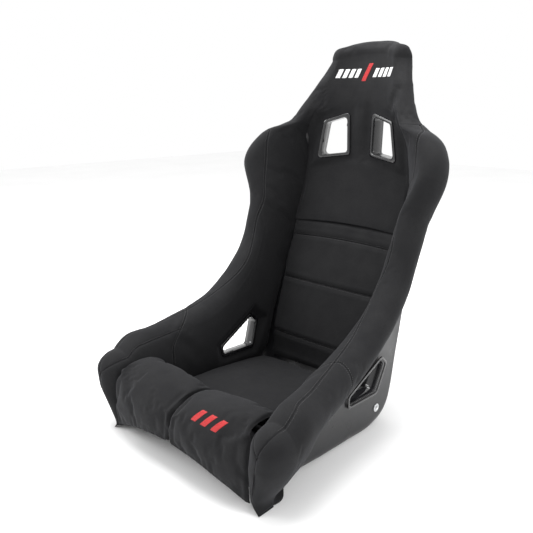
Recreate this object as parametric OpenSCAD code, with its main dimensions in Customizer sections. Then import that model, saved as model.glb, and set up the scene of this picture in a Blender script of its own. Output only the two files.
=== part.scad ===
// Fixed-back racing bucket seat: a moulded shell with wrapped bolsters, harness slots,
// side-mount inserts, and a seat cushion and a back cushion held by hook-and-loop strips.
// The seat faces -Y, +Z is up, the centre plane is X = 0 and the tips rest on Z = 0.

/* [Shell] */
// Thickness of the moulded laminate
shell_t = 5; // [4.5:0.5:6]
// Run over which the side walls round into the floor and the back
corner_run = 22; // [18:1:28]

/* [Side mounts] */
// Pitch between the front and the rear mount hole
mount_pitch = 290; // [280:2:300]
// Height of the mount holes above the floor
mount_z = 48; // [46:1:52]
// Distance from the centre plane to the outer face of the wall at the mounts
mount_x = 208; // [207.5:0.5:208]
// Radius of the tapped M8 bore
bolt_r = 4; // [3.5:0.5:5]
// Radius of the bright flange seen around each bore
flange_r = 10; // [9:1:12]

/* [Padding] */
// Thickness of the fabric cover
cover_t = 2; // [1.5:0.5:2.5]
// Working gap between neighbouring pieces
gap = 0.4; // [0.3:0.1:0.6]
// Height of the seat cushion above the shell at its front edge
cushion_front_z = 91; // [88:1:93]
// Half width of the seat cushion
cushion_w = 176; // [174:1:177]
// Half width of the back cushion
back_w = 172; // [168:1:172]

/* [Harness slots] */
// Width of the flange on each slot bezel
bezel_flange = 8; // [6:1:9]
// Thickness of the bezel flange
bezel_t = 3; // [2:0.5:4]
// Wall thickness of the bezel sleeve
sleeve_t = 2; // [1.5:0.5:2.5]

/* [Hidden] */
$fn = 48;

// Key sections, numbered 0 at the front edge to 14 at the head.
// Centre line of the shell's inner face: [y, z].
spine = [[-334, 75], [-290, 99], [-205, 81], [-110, 45], [-15, 23], [75, 17], [138, 43],
  [172, 158], [220, 308], [262, 433], [292, 538], [302, 615], [303, 693], [328, 778], [358, 861]];
// Corner line where the floor or the back meets the side wall: [x, y, z].
corner = [[236, -300, 9], [217, -262, 7], [203, -200, 7], [203, -110, 4], [203, -20, 2],
  [203, 75, 2], [203, 136, 37], [203, 166, 158], [202, 200, 303], [196, 236, 428],
  [182, 262, 533], [156, 278, 611], [112, 288, 693], [86, 318, 778], [70, 346, 861]];
// Rim of the side wall, which is also the centre line of the bolster roll: [x, y, z].
rim = [[250, -300, 139], [251, -262, 162], [242, -200, 173], [231, -110, 195],
  [225, -30, 225], [225, 38, 271], [224, 80, 313], [224, 110, 355], [226, 134, 413],
  [234, 160, 488], [262, 174, 578], [230, 212, 645], [156, 250, 697], [111, 292, 773],
  [80, 330, 861]];
// Radius of the bolster roll round the rim.
roll = [44, 46, 43, 42, 40, 38, 37, 36, 34, 33, 34, 38, 36, 34, 33];
// Outer edge of the bolster cover, as a fraction of the wall's height.
edge_at = [0.02, 0.04, 0.54, 0.67, 0.74, 0.77, 0.71, 0.55, 0.3, 0.3, 0.42, 0.4, 0.35, 0.3, 0.3];
// Outward swell of the bolster's outer flank near the front tip.
swell = [6, 12, 4, 0, 0, 0, 0, 0, 0, 0, 0, 0, 0, 0, 0];
// Crease where the bolster's inner face meets the cushions: [x, y, z].
crease = [[204, -300, 5], [198, -262, 47], [194, -205, 79], [187, -110, 77], [184, -15, 69],
  [183, 80, 67], [180, 124, 87], [176, 148, 178], [176, 196, 315], [174, 232, 423],
  [166, 258, 523], [156, 262, 603], [148, 258, 671], [112, 252, 748], [104, 285, 833]];
// Foot of the bolster padding on the shell, from 0.5 at the corner to 1 at the rim.
foot = [0.62, 0.66, 0.7, 0.66, 0.66, 0.7, 0.64, 0.58, 0.52, 0.5, 0.5, 0.5, 0.5, 0.5, 0.5];
// Front face of the back pads on the centre plane: [y, z], entered at the same section numbers.
front = [[0, 0], [0, 0], [0, 0], [0, 0], [0, 0], [0, 0], [125, 55], [141, 153], [188, 301],
  [241, 431], [270, 533], [284, 611], [280, 699], [291, 788], [318, 865]];

last = len(spine) - 1;
thigh_end = 4;
side_end = 8.5;
neck = 11.9;
shoulder_slot = [[33, 714], [30, 606], [121, 594], [103, 693]];
slot_centre = [72, 272, 651];
slot_turn = -13.4;
lap_slot = [[78, 187], [104, 163], [78, 90], [-36, 93], [-40, 125]];
mount_y = [-203, -203 + mount_pitch];

// ---- Curves and surfaces ----
function pick(t, i) = t[min(max(i, 0), len(t) - 1)];
function spline(a, b, c, d, t) = 0.5 * (2 * b + (c - a) * t
  + (2 * a - 5 * b + 4 * c - d) * t * t + (3 * b - a - 3 * c + d) * t * t * t);
function along(t, u) = let (i = floor(u), f = u - i)
  spline(pick(t, i - 1), pick(t, i), pick(t, i + 1), pick(t, i + 2), f);
function unit(v) = v / norm(v);
function mix(a, b, t) = a + (b - a) * t;
function bezier(a, b, c, d, t) = let (s = 1 - t)
  a * s * s * s + 3 * b * s * s * t + 3 * c * s * t * t + d * t * t * t;
function steps(a, b, n) = [for (i = [0:n]) a + (b - a) * i / n];

// Point on the floor or the back at section u, x from the centre plane.
function floor_at(u, x) = let (s = along(spine, u), c = along(corner, u), k = pow(x / c.x, 2))
  [x, mix(s.x, c.y, k), mix(s.y, c.z, k)];
// Point on the side wall, h from 0 at the corner to 1 at the rim.
function wall_at(u, h) = let (c = along(corner, u), r = along(rim, u))
  [mix(c.x, r.x, pow(h, 2.4)), mix(c.y, r.y, h), mix(c.z, r.z, h)];
// Inner face of the shell: u along the seat, s across it from 0 at the centre to 1 at the rim.
function inner(u, s) = let (c = along(corner, u), r = along(rim, u), run = corner_run,
    x_a = c.x - run, h_b = min(0.45, run / norm(r - c)))
  s < 0.4 ? floor_at(u, x_a * s / 0.4)
  : s < 0.6 ? let (t = (s - 0.4) / 0.2, a = floor_at(u, x_a), b = wall_at(u, h_b))
      a * (1 - t) * (1 - t) + 2 * c * t * (1 - t) + b * t * t
  : wall_at(u, mix(h_b, 1, (s - 0.6) / 0.4));
// Direction out of the occupant's side, square to the shell.
function outward(u, s) = let (e = 0.02, u0 = max(u, e), s0 = min(max(s, e), 1 - e))
  unit(cross(inner(u0 + e, s0) - inner(u0 - e, s0), inner(u0, s0 + e) - inner(u0, s0 - e)));
function shell_at(u, s, d) = let (m = s < 0 ? -1 : 1, p = inner(u, abs(s)) + d * outward(u, abs(s)))
  [m * (abs(s) < 0.001 ? 0 : p.x), p.y, p.z];

// Point where the cover's outer edge lies on the shell.
function edge_point(u) = let (h = along(edge_at, u), s = wall_param(u, h))
  shell_at(u, s, shell_t + gap + cover_t);
function wall_param(u, h) = let (b = min(0.45, corner_run / norm(along(rim, u) - along(corner, u))))
  h <= b ? 0.5 + 0.1 * h / b : 0.6 + 0.4 * (h - b) / (1 - b);
// The front tip stands on a rounded toe: below toe_r its flanks close towards its middle plane.
toe_r = 26;
toe_x = 236;
function toe(p, u) = let (r = along(rim, 0), h = max(p.z, 0.5) / toe_r,
    k = h < 1 ? sqrt(1 - (1 - h) * (1 - h)) : 1, mid = mix(toe_x, r.x, p.z / r.z))
  u < 1 ? [mix(p.x, mix(mid, p.x, k), 1 - u * u), p.y, p.z] : p;
// Visible face of a bolster: v runs from the crease over the roll to the outer edge.
function bolster(u, v) = toe(bolster_face(u, v), max(u, 0));
function bolster_face(u, v) = let (r = along(rim, u), q = along(roll, u), c = along(crease, u),
    e = edge_point(u), down = unit(e - r), side = unit([1, 0, 0] - down.x * down),
    p1 = r - q * side, p2 = r + q * side, l1 = norm(p1 - c), l2 = norm(p2 - e), w = along(swell, u))
  v < 0.35 ? bezier(c, mix(c, p1, 0.3) - 6 * side, p1 + 0.4 * l1 * down, p1, v / 0.35)
  : v < 0.7 ? let (a = 180 - 180 * (v - 0.35) / 0.35) r + q * (cos(a) * side - sin(a) * down)
  : bezier(p2, p2 + 0.5 * l2 * down, e - 0.3 * (l2 - w) * down + w * side, e, (v - 0.7) / 0.3);
// Bolster face set back by d towards the shell.
function bolster_in(u, v, d) = let (e = 0.01, u0 = max(u, e), v0 = min(max(v, e), 1 - e),
    n = cross(bolster(u0 + e, v0) - bolster(u0 - e, v0), bolster(u0, v0 + e) - bolster(u0, v0 - e)))
  bolster(u, v) + d * unit(n);
// Back of a bolster's foam, sunk into the laminate that is then cut away from it.
sink = 2.1;
function bolster_back(u, v) = let (f = along(foot, u))
  v < 0.42 ? shell_at(u, mix(f, 1, v / 0.42), sink)
  : v < 0.6 ? shell_at(u, 1, mix(sink, shell_t - sink, (v - 0.42) / 0.18))
  : shell_at(u, mix(1, wall_param(u, along(edge_at, u)), (v - 0.6) / 0.4), shell_t - sink);

// ---- Solids between two grids of points ----
function flat(grid) = [for (row = grid) each row];
function quad(a, b, c, d) = [[a, b, c], [a, c, d]];
// Closed solid between an outer grid and an inner grid of the same size.
module slab(outer, inner) {
  m = len(outer);
  n = len(outer[0]);
  o = m * n;
  faces = [for (i = [0:m - 2], j = [0:n - 2]) let (a = i * n + j, b = a + 1, c = b + n, d = a + n)
      each concat(quad(a, b, c, d), quad(o + a, o + d, o + c, o + b))];
  ends = [for (j = [0:n - 2]) let (a = j, b = j + 1, c = (m - 1) * n + j, d = c + 1)
      each concat(quad(b, a, o + a, o + b), quad(c, d, o + d, o + c))];
  sides = [for (i = [0:m - 2]) let (a = i * n, b = a + n, c = a + n - 1, d = c + n)
      each concat(quad(a, b, o + b, o + a), quad(d, c, o + c, o + d))];
  polyhedron(concat(flat(outer), flat(inner)), concat(faces, ends, sides), convexity = 8);
}
module both_sides() { children(); mirror([1, 0, 0]) children(); }

// ---- Harness slots ----
// Slot outline grown by d, with rounded corners.
module outline(points, d, r = 9) { offset(r = r) offset(delta = d - r) polygon(points); }
function centred(points, c, turn) = [for (p = points) [(p[0] - c[0]) / cos(turn), p[1] - c[2]]];
module shoulder_prism(d, from, to) {
  translate(slot_centre) rotate([90, 0, slot_turn]) translate([0, 0, -to])
    linear_extrude(to - from) outline(centred(shoulder_slot, slot_centre, slot_turn), d);
}
module shoulder_ring(d_out, d_in, from, to) {
  difference() {
    shoulder_prism(d_out, from, to);
    shoulder_prism(d_in, from - 1, to + 1);
  }
}
lap_x = 206;
lap_lean = 5;
module lap_prism(d, from, to) {
  translate([lap_x, 0, 90]) rotate([0, lap_lean, 0]) rotate([90, 0, 90]) translate([0, 0, from])
    linear_extrude(to - from) outline([for (p = lap_slot) [p[0], p[1] - 90]], d);
}
module lap_ring(d_out, d_in, from, to) {
  difference() {
    lap_prism(d_out, from, to);
    lap_prism(d_in, from - 1, to + 1);
  }
}
bezel_depth = 32;
lap_depth = 20;
// How far a cut for a slot runs each way, right through the padding.
through = 60;
module shoulder_bezel() {
  shoulder_ring(0, -bezel_flange, -bezel_t, 0);
  shoulder_ring(sleeve_t - bezel_flange, -bezel_flange, -0.5, bezel_depth);
}
module shoulder_bezel_rear() {
  shoulder_ring(-1, -bezel_flange + sleeve_t + gap, bezel_depth + 1, bezel_depth + 1 + bezel_t);
}
module lap_bezel_inner() {
  lap_ring(0, -bezel_flange, -lap_depth - bezel_t, -lap_depth);
  lap_ring(sleeve_t - bezel_flange, -bezel_flange, -lap_depth - 0.5, shell_t);
}
// The outer lap bezel stands on the cover, which is as thick as the step between it and the shell.
module lap_bezel_outer() {
  lap_ring(0, sleeve_t - bezel_flange + gap, shell_t + cover_t, shell_t + cover_t + bezel_t);
}

// ---- Shell and mounts ----
insert_r = 7;
insert_from = 198;
pocket_r = 14;
plate_r = 14;
plate_from = 198.5;
plate_to = 201.5;
module along_x(x0, x1, r, y) {
  translate([x0, y, mount_z]) rotate([0, 90, 0]) cylinder(h = x1 - x0, r = r);
}
shell_cols = steps(0, 1, 12);
shell_rows = steps(0, last, 28);
module shell() {
  color("#18181a") difference() {
    both_sides() slab([for (u = shell_rows) [for (s = shell_cols) shell_at(u, s, shell_t)]],
      [for (u = shell_rows) [for (s = shell_cols) shell_at(u, s, 0)]]);
    both_sides() {
      shoulder_prism(sleeve_t - bezel_flange + gap, -20, 60);
      lap_prism(sleeve_t - bezel_flange + gap, -30, 30);
      for (y = mount_y) along_x(180, 230, insert_r + gap / 2, y);
      for (y = mount_y) along_x(mount_x, 230, pocket_r, y);
    }
    translate([-400, -400, -50]) cube([800, 800, 50]);
  }
}
// The shell's laminate with the working gap round it, cut out of the padding that rests on it.
function room_at(u, s, d) = shell_at(u, s, d)
  + (s < 1 ? [0, 0, 0] : gap * unit(along(rim, u) - along(corner, u)))
  + (u == 0 ? [0, -gap, 0] : u == last ? [0, 0, gap] : [0, 0, 0]);
module clear_of_shell() {
  difference() {
    children();
    both_sides() slab([for (u = shell_rows) [for (s = shell_cols) room_at(u, s, shell_t + gap)]],
      [for (u = shell_rows) [for (s = shell_cols) room_at(u, s, -gap)]]);
  }
}
module mount_insert(y) {
  color("#c8cacc") difference() {
    union() {
      along_x(mount_x + gap / 2, mount_x + 2, flange_r, y);
      along_x(insert_from, mount_x + 1, insert_r, y);
    }
    along_x(insert_from - 1, mount_x + 3, bolt_r, y);
  }
}
module backing_plates() {
  color("#8a8c8e") both_sides() for (y = mount_y) difference() {
    along_x(plate_from, plate_to, plate_r, y);
    along_x(plate_from - 1, plate_to + 1, insert_r + gap / 2, y);
  }
}

// ---- Bolsters ----
nose_y = -300;
nose_low = 34;
nose_high = 56;
cols = steps(0, 1, 13);
foam_cols = steps(0, 12 / 13, 12);
// Rows shared by all the padding, so that neighbouring faces run parallel:
// a, the half sections between, b.
function rows_of(a, b) = concat([a], [for (i = [ceil(a * 2 + 0.02):floor(b * 2 - 0.02)]) i / 2], [b]);
module bolster_cover(a, b) {
  slab([for (u = rows_of(a, b)) [for (v = cols) bolster_in(u, v, cover_t)]],
    [for (u = rows_of(a, b)) [for (v = cols) bolster(u, v)]]);
}
module bolster_foam(a, b) {
  slab([for (u = rows_of(a, b)) [for (v = foam_cols) bolster_back(u, v)]],
    [for (u = rows_of(a, b)) [for (v = foam_cols) bolster_in(u, v, cover_t + gap)]]);
}
// Middle of the front tip's section beside the point at v, and the centre of its roll above that.
function medial(v) = v < 0.35 ? (bolster(0, v) + bolster(0, 1 - v * 0.3 / 0.35)) / 2
  : v < 0.7 ? along(rim, 0)
  : (bolster(0, v) + bolster(0, 0.35 * (1 - v) / 0.3)) / 2;
// Point of the rounded front end of a thigh bolster, set back by d: at 0 degrees on the section
// at nose_y, and at 90 degrees on the front edge, where its two flanks meet.
function nose_at(a, v, d) = let (p = bolster_in(0, v, d), q = mix(medial(v), p, cos(a)),
    reach = mix(nose_low, nose_high, min(p.z / 100, 1)) - d)
  [q.x, nose_y - reach * sin(a), max(q.z, d)];
// Middle sheet of the nose's foam: the two faces of the shell's wall, carried on forwards.
nose_core = 0.8;
function nose_back(a, v) = let (p = bolster_back(0, v), q = nose_at(a, v, cover_t + gap))
  [p.x, nose_y + (q.y - nose_y) * nose_core, p.z];
foam_angles = [72, 50, 25];
module thigh_bolster_foam() {
  rows = rows_of(0.02, thigh_end - 0.01);
  clear_of_shell() slab(
    concat([for (a = foam_angles) [for (v = foam_cols) nose_back(a, v)]],
      [for (u = rows) [for (v = foam_cols) bolster_back(u, v)]]),
    concat([for (a = foam_angles) [for (v = foam_cols) nose_at(a, v, cover_t + gap)]],
      [for (u = rows) [for (v = foam_cols) bolster_in(u, v, cover_t + gap)]]));
}
// The cover's rows run round the nose and on along the bolster. The flanks stop just short of each other.
nose_angles = [88, 72, 50, 25];
module thigh_bolster_cover() {
  rows = rows_of(0.001, thigh_end - 0.01);
  clear_of_shell() slab(
    concat([for (a = nose_angles) [for (v = cols) nose_at(a, v, cover_t)]],
      [for (u = rows) [for (v = cols) bolster_in(u, v, cover_t)]]),
    concat([for (a = nose_angles) [for (v = cols) nose_at(a, v, 0)]],
      [for (u = rows) [for (v = cols) bolster(u, v)]]));
}

// ---- Panels of the back and the head ----
function panel(u, x) = let (f = along(front, u), c = along(crease, u), k = pow(x / c.x, 2))
  [x, mix(f.x, c.y, k), mix(f.y, c.z, k)];
function panel_in(u, x, d) = let (e = 0.05)
  panel(u, x) + d * unit(cross(panel(u + e, x) - panel(u - e, x), [1, 0, 0] * 2 * e));
wide = steps(-1, 1, 12);
// Half width of the panel, which narrows where the neck of the shell does.
pinch = 18;
function panel_half(u) = along(crease, u).x - 2 * gap - pinch * max(u - 11.2, 0);
panel_from = 9.08;
panel_to = 11.96;
panel_foam_to = 11.9;
module panel_cover() {
  rows = rows_of(panel_from, panel_to);
  slab([for (u = rows) [for (t = wide) panel_in(u, t * panel_half(u), cover_t)]],
    [for (u = rows) [for (t = wide) panel(u, t * panel_half(u))]]);
}

// The head pad is a hood: a grid wrapped over the sides and the top and a little way down the back.
hood_z = 695;
hood_top = 854;
function hood_u(z) = z < 773 ? 12 + (z - 693) / 80 : 13 + (z - 773) / 88;
hood_drop = 13;
hood_lap = 4;
function hood_at(b, k) = mix(hood_z, hood_top - hood_drop * pow(k, 3), min(b / 0.5, 1));
function hood(a, b, d) = let (
    zc = hood_at(b, min(abs(a) / 0.5, 1)), u = hood_u(zc), r = along(roll, u) - d, rx = along(rim, u),
    k = min(abs(a) / 0.5, 1), m = a < 0 ? -1 : 1, ox = max(abs(a) / 0.5 - 1, 0), oz = max(b / 0.5 - 1, 0),
    o = max(ox, oz), n = norm([ox, oz]) + 0.0001, turn = 165 * o,
    y0 = mix(along(front, u).x, rx.y - r, pow(k, 2.6)) + d,
    y1 = mix(along(spine, u).x, rx.y, k * k) + shell_t + gap + cover_t - d)
  [m * (rx.x * k + r * sin(turn) * ox / n), mix(y0, y1, (1 - cos(turn)) / 2), zc + r * sin(turn) * oz / n];
hood_a = steps(-1, 1, 24);
hood_b = steps(0, 1, 14);
module hood_solid(d_out, d_in) {
  slab([for (b = hood_b) [for (a = hood_a) hood(a, b, d_in)]],
    [for (b = hood_b) [for (a = hood_a) hood(a, b, d_out)]]);
}
// Inner face of the head foam, sunk into the laminate that is then cut away from it.
function hood_back(a, b) = let (
    zc = mix(hood_z, hood_top + hood_lap, min(b / 0.5, 1)), u = min(hood_u(zc), last),
    s = (a < 0 ? -1 : 1) * min(abs(a) / 0.5, 1), o = max(abs(a) / 0.5 - 1, b / 0.5 - 1, 0))
  mix(shell_at(u, s, sink), shell_at(u, s, shell_t - sink), min(o * 1.6, 1));
module head_foam() {
  color("#2c2c30") difference() {
    clear_of_shell() slab([for (b = hood_b) [for (a = hood_a) hood_back(a, b)]],
      [for (b = hood_b) [for (a = hood_a) hood(a, b, cover_t + 4 * gap)]]);
    hood_solid(-2, cover_t + gap);
    both_sides() shoulder_prism(gap, -through, through);
  }
}
module upper_back_foam() {
  rows = rows_of(panel_from, panel_foam_to);
  color("#2c2c30") difference() {
    clear_of_shell() slab([for (u = rows) [for (t = wide) shell_at(u, 0.44 * t, sink)]],
      [for (u = rows) [for (t = wide) panel_in(u, t * panel_half(u), cover_t + gap)]]);
    both_sides() shoulder_prism(gap, -through, through);
  }
}
module upper_cover() {
  color("#232327") difference() {
    clear_of_shell() {
      panel_cover();
      hood_solid(0, cover_t);
    }
    both_sides() shoulder_prism(gap, -through, through);
  }
}

// ---- Thigh pads ----
pad_back_u = 1.85;
// Section beside the pad at step i of its path, and the half width there.
function pad_u(i) = pad_back_u * max(1 - i / 5, 0);
function pad_half(i) = along(crease, pad_u(i)).x - 8 * gap;
function pad_top(k) = mix(146, 163, k) + 26 * k * (1 - k);
function pad_front(k) = -361 + 19 * k * k - 8 * k * (1 - k);
function pad_foot(k) = 68 - 50 * k * k;
function pad_path(k) = let (z = pad_top(k), y = pad_front(k), b = pad_foot(k))
  [[-217, 95], [-221, z - 30], [-234, z - 8], [-262, z], [-300, z + 1], [-328, z - 6],
   [y + 12, z - 22], [y + 2, z - 44], [y, mix(b, z - 44, 0.5)], [y + 2, b]];
pad_rows = steps(0, 9, 18);
pad_cols = steps(0.002, 1, 8);
// The foam stops a little short of the cover's side seams.
pad_foam_cols = steps(0.008, 0.985, 8);
function across(u, x) = let (x_a = along(corner, u).x - corner_run) 0.4 * x / x_a;
// Point of the pad at step i and k of the way across, set back by d.
function pad(i, k, d) = let (p = along(pad_path(k), i),
    n = unit(along(pad_path(k), min(i + 0.1, 9)) - along(pad_path(k), max(i - 0.1, 0))))
  [pad_half(i) * k, p.x + d * n.y * -1, p.y + d * n.x];
function pad_back(i, k) = let (u = pad_back_u * max(1 - i / 7, 0), s = across(u, pad_half(i) * k))
  i < 7 ? shell_at(u, s, sink) : mix(shell_at(0, s, sink), shell_at(0, s, shell_t - sink), (i - 7) / 2);
module thigh_foam() {
  color("#2c2c30") both_sides() clear_of_shell()
    slab([for (i = pad_rows) [for (k = pad_foam_cols) pad(i, k, cover_t + gap)]],
      [for (i = pad_rows) [for (k = pad_foam_cols) pad_back(i, k)]]);
}
module thigh_cover() {
  color("#26262a") slab([for (i = pad_rows) [for (k = pad_cols) pad(i, k, 0)]],
    [for (i = pad_rows) [for (k = pad_cols) pad(i, k, cover_t)]]);
}

// ---- Removable cushions ----
strip_t = 1.2;
lift = 2 * strip_t + 2.2;
// How far the open mouth of a cushion cover is cut past its foot.
mouth = 9;
// Point p pushed on by drop along the line from q.
function beyond(q, p, drop) = p + drop * unit(p - q);
// How far across the shell the foot of a cushion of half width w reaches at t.
foot_s = 0.37;
function fit_s(t, w) = foot_s * w / 180 * t;
cushion_rows = steps(0, 1, 9);
seat_a = 1.95;
seat_b = 5.56;
function seat_top(u, t, d) = let (y = along(spine, u).x, k = (u - seat_a) / (seat_b - seat_a))
  [(cushion_w - d) * t, y, mix(cushion_front_z, 65, k) + 6 * sin(180 * k) - 7 * pow(t, 4) - d];
function seat_sections(d) = [for (k = cushion_rows) mix(seat_a + d / 90, seat_b - d / 80, k)];
function seat_foot(u, t, d, drop) =
  beyond(seat_top(u, t, d), shell_at(u, fit_s(t, cushion_w - d), -lift), drop);
module seat_block(d) {
  slab([for (u = seat_sections(d)) [for (t = wide) seat_foot(u, t, d, 0)]],
    [for (u = seat_sections(d)) [for (t = wide) seat_top(u, t, d)]]);
}
module seat_mouth(d) {
  slab([for (u = seat_sections(d)) [for (t = wide) seat_foot(u, t, d, mouth)]],
    [for (u = seat_sections(d)) [for (t = wide) seat_foot(u, t, d, -1)]]);
}
module seat_cushion_cover() {
  color("#2a2a2e") difference() {
    seat_block(0);
    seat_block(cover_t);
    seat_mouth(cover_t);
  }
}
module seat_cushion_foam() {
  color("#3a3a3e") seat_block(cover_t + 2 * gap);
}
back_a = 6.17;
back_b = 8.99;
// The face falls back at its sides, but at the top it bends as the panel above it does.
// d is the depth below the face and w the half width there.
back_drop = 5;
back_bend = [9, 8];
function back_face(u, t, d, w) = let (f = along(front, u), k = min(max(u - 7.8, 0) / 1.2, 1))
  [w * t, f.x + d + mix(back_drop * pow(t, 4), -back_bend.x * t * t, k),
   f.y - back_bend.y * k * t * t];
function back_sections(d) = [for (k = cushion_rows) mix(back_a + d / 130, back_b - d / 130, k)];
function back_foot(u, t, d, w, drop) =
  beyond(back_face(u, t, d, w), shell_at(u, fit_s(t, w), -lift), drop);
module back_block(d, w) {
  slab([for (u = back_sections(d)) [for (t = wide) back_foot(u, t, d, w, 0)]],
    [for (u = back_sections(d)) [for (t = wide) back_face(u, t, d, w)]]);
}
module back_mouth(d, w) {
  slab([for (u = back_sections(d)) [for (t = wide) back_foot(u, t, d, w, mouth)]],
    [for (u = back_sections(d)) [for (t = wide) back_foot(u, t, d, w, -1)]]);
}
// The side walls lean, so each layer inside them is narrower by more than its own thickness.
side_inset = 4;
foam_inset = 10;
module back_cushion_cover() {
  color("#2a2a2e") difference() {
    back_block(0, back_w);
    back_block(cover_t, back_w - side_inset);
    back_mouth(cover_t, back_w - side_inset);
  }
}
module back_cushion_foam() {
  color("#3a3a3e") back_block(cover_t + 2 * gap, back_w - foam_inset);
}
// Hook-and-loop strips laid along the shell from section a to b, d above its face.
// Each is as wide as one of the shell's own facets, so that it lies flat on it.
strip_s = [3 / 12, 4 / 12];
module strips(a, b, d) {
  both_sides() slab([for (u = rows_of(a, b)) [for (s = strip_s) shell_at(u, s, -d)]],
    [for (u = rows_of(a, b)) [for (s = strip_s) shell_at(u, s, -d - strip_t)]]);
}
hook_gap = 0.3;
loop_gap = hook_gap + strip_t + gap;
module seat_hook_strips() { color("#101012") strips(2.5, 5, hook_gap); }
module seat_loop_strips() { color("#101012") strips(2.5, 5, loop_gap); }
module back_hook_strips() { color("#101012") strips(7, 8.5, hook_gap); }
module back_loop_strips() { color("#101012") strips(7, 8.5, loop_gap); }

// ---- Edge welts ----
welt_r = 2.3;
welt_gap = 2.2;
function welt_point(u) = shell_at(u, wall_param(u, along(edge_at, u)), shell_t + welt_gap + welt_r)
  + (welt_r + welt_gap) * unit(along(corner, u) - along(rim, u));
// Ring of the welt's cord round its centre line at section u.
function welt_ring(u) = let (f = unit(welt_point(u + 0.05) - welt_point(u - 0.05)),
    a = unit(cross(f, [1, 0, 0])), b = cross(f, a))
  [for (i = [0:5]) welt_point(u) + welt_r * (cos(60 * i) * a + sin(60 * i) * b)];
module edge_welt() {
  rows = steps(1, neck, 26);
  points = [for (u = rows) welt_ring(u)];
  sides = [for (i = [0:len(rows) - 2], j = [0:5]) let (p = 6 * i + j, q = 6 * i + (j + 1) % 6)
      each quad(p, p + 6, q + 6, q)];
  color("#1c1c1f") polyhedron(flat(points), concat(sides, [[0, 1, 2, 3, 4, 5]],
    [[for (j = [5:-1:0]) 6 * (len(rows) - 1) + j]]));
}

// ---- Padding trimmed round the harness slots ----
module clear_of_lap_slot() {
  difference() {
    children();
    lap_prism(gap, -through, through);
  }
}
module thigh_bolster_foam_piece() {
  color("#3a3a3e") clear_of_lap_slot() thigh_bolster_foam();
}
module thigh_bolster_cover_piece() {
  color("#26262a") clear_of_lap_slot() thigh_bolster_cover();
}
module side_bolster_foam() {
  color("#3a3a3e") clear_of_lap_slot() clear_of_shell() bolster_foam(thigh_end + 0.01, side_end - 0.01);
}
module side_bolster_cover() {
  color("#26262a") clear_of_lap_slot() clear_of_shell() bolster_cover(thigh_end + 0.01, neck);
}
module shoulder_foam() {
  color("#3a3a3e") clear_of_shell() bolster_foam(side_end + 0.01, neck);
}
module left() {
  mirror([1, 0, 0]) children();
}

shell();
mount_insert(mount_y[0]);  // mount_insert_front_right
mount_insert(mount_y[1]);  // mount_insert_rear_right
left() mount_insert(mount_y[0]);  // mount_insert_front_left
left() mount_insert(mount_y[1]);  // mount_insert_rear_left
backing_plates();
shoulder_bezel();  // shoulder_bezel_right
left() shoulder_bezel();  // shoulder_bezel_left
shoulder_bezel_rear();  // shoulder_bezel_rear_right
left() shoulder_bezel_rear();  // shoulder_bezel_rear_left
lap_bezel_inner();  // lap_bezel_inner_right
left() lap_bezel_inner();  // lap_bezel_inner_left
lap_bezel_outer();  // lap_bezel_outer_right
left() lap_bezel_outer();  // lap_bezel_outer_left
thigh_bolster_foam_piece();  // thigh_bolster_foam_right
left() thigh_bolster_foam_piece();  // thigh_bolster_foam_left
side_bolster_foam();  // side_bolster_foam_right
left() side_bolster_foam();  // side_bolster_foam_left
shoulder_foam();  // shoulder_foam_right
left() shoulder_foam();  // shoulder_foam_left
thigh_bolster_cover_piece();  // thigh_bolster_cover_right
left() thigh_bolster_cover_piece();  // thigh_bolster_cover_left
side_bolster_cover();  // side_bolster_cover_right
left() side_bolster_cover();  // side_bolster_cover_left
upper_back_foam();
head_foam();
upper_cover();
thigh_foam();
thigh_cover();  // thigh_cover_right
left() thigh_cover();  // thigh_cover_left
seat_cushion_foam();
seat_cushion_cover();
back_cushion_foam();
back_cushion_cover();
edge_welt();  // edge_welt_right
left() edge_welt();  // edge_welt_left
seat_hook_strips();
seat_loop_strips();
back_hook_strips();
back_loop_strips();
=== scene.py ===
"""A fixed-back racing bucket seat: fabric covers, moulded shell, slot bezels, inserts and trim.

Everything is worked out in millimetres from the same key sections that the frame is built on, and is
turned into metres when a mesh is made. The seat faces -Y, +Z is up and X = 0 is the centre plane.
"""
import math

import bpy
import numpy as np
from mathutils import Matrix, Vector, noise
from mathutils.bvhtree import BVHTree


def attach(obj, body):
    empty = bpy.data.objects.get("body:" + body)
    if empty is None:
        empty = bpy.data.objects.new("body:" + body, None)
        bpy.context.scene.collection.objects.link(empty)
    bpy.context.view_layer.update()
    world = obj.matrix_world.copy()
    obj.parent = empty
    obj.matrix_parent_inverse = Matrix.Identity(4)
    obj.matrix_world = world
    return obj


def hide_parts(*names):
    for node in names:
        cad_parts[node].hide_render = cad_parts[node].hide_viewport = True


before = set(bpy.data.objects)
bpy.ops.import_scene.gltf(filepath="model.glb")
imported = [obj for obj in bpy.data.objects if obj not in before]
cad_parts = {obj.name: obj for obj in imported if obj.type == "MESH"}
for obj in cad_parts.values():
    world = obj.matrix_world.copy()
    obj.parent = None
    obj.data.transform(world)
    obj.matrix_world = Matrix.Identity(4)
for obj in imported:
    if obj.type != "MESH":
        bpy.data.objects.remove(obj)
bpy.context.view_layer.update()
MM = 0.001

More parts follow.
